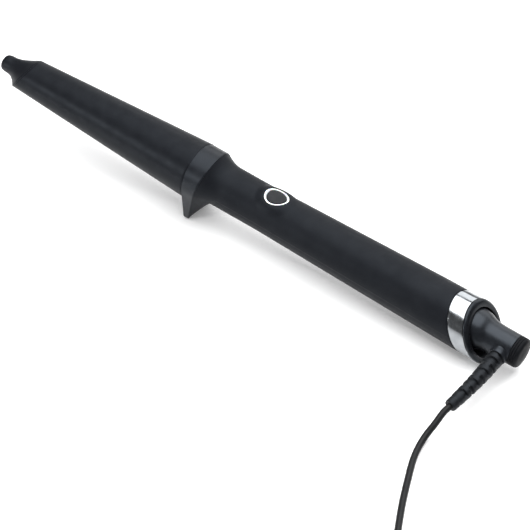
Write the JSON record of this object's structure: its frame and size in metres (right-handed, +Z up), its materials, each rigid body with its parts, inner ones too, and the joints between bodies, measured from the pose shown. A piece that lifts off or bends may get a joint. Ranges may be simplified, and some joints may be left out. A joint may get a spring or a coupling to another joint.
{
  "type": "hair curling wand",
  "caption": "Tapered clipless curling wand with a fixed stand on its collar, a soft-touch handle with one round button, a bright end band, and a swivelling mains lead.",
  "frame": {"origin": "centre of the wand's own extents, at the height of the surface it stands on; the lead, its coil and plug are left out of those extents", "axes": "+Z up; +X from the cool tip towards the handle's swivel; the button faces up and the strain relief leaves towards -Y. The wand leans 3.56 degrees, tip up, on its stand foot and its end band."},
  "size_m": [0.3932, 0.2819, 0.0461],
  "materials": {
    "satin_enamel": "satin black ceramic-loaded enamel",
    "satin_black_plastic": "satin black moulding",
    "soft_touch": "matt soft-touch black",
    "semi_gloss_black": "semi-gloss black",
    "bright_chrome": "mirror bright",
    "light_pipe": "translucent white light pipe",
    "black_rubber": "matt black flexible PVC",
    "bare_aluminium": "as extruded",
    "ceramic": "unglazed technical ceramic",
    "steel": "plain steel",
    "brass": "machined",
    "black_nylon": "glass-filled nylon",
    "board_green": "green solder mask",
    "red_insulation": "silicone insulation",
    "blue_insulation": "silicone insulation",
    "yellow_plastic": "moulded case"
  },
  "bodies": {
    "wand": {"barrel": "satin_enamel", "cool_tip": "satin_black_plastic", "tip_clip": "steel", "tip_screw": "steel", "carrier_upper": "bare_aluminium", "carrier_lower": "bare_aluminium", "heater_upper": "ceramic", "heater_lower": "ceramic", "spreader_spring": "steel", "temperature_sensor": "ceramic", "sensor_lead": "yellow_plastic", "heater_lead_live": "red_insulation", "heater_lead_neutral": "blue_insulation", "thermal_fuse": "steel", "heat_shield": "ceramic", "barrel_mount": "black_nylon", "mount_screw_left": "steel", "mount_screw_right": "steel", "collar_stand": "semi_gloss_black", "handle_shell": "soft_touch", "light_ring": "light_pipe", "tact_switch": "black_nylon", "chassis": "black_nylon", "chassis_pin": "steel", "circuit_board": "board_green", "board_screw_front": "steel", "board_screw_rear": "steel", "ring_led": "light_pipe", "microcontroller": "black_nylon", "buzzer": "black_nylon", "film_capacitor": "yellow_plastic", "choke": "brass", "mains_fuse": "ceramic", "triac": "black_nylon", "chrome_band": "bright_chrome", "end_cap": "satin_black_plastic", "end_screw_left": "steel", "end_screw_right": "steel", "swivel_bush": "black_nylon", "brush_live": "brass", "brush_neutral": "brass", "cord": "black_rubber", "cord_coil": "black_rubber", "cord_tie": "black_rubber", "cord_tail": "black_rubber", "plug_body": "black_rubber", "plug_pin_left": "brass", "plug_pin_right": "brass"},
    "button": {"button": "soft_touch", "switch_plunger": "black_nylon"},
    "swivel": {"swivel_stem": "satin_black_plastic", "swivel_end_cap": "satin_black_plastic", "slip_ring_live": "brass", "slip_ring_neutral": "brass", "swivel_circlip": "steel", "swivel_lead_live": "red_insulation", "swivel_lead_neutral": "blue_insulation", "cord_boot": "black_rubber"}
  },
  "joints": [
    {"name": "button_press", "type": "slide", "parent": "wand", "child": "button", "axis": [-0.0621, 0, -0.9981], "range_m": [0, 0.0006], "stiffness_N_per_m": 2500},
    {"name": "cord_swivel", "type": "hinge", "parent": "wand", "child": "swivel", "pos_m": [0.15635, 0, 0.01624], "axis": [-0.9981, 0, 0.0621], "continuous": true}
  ]
}
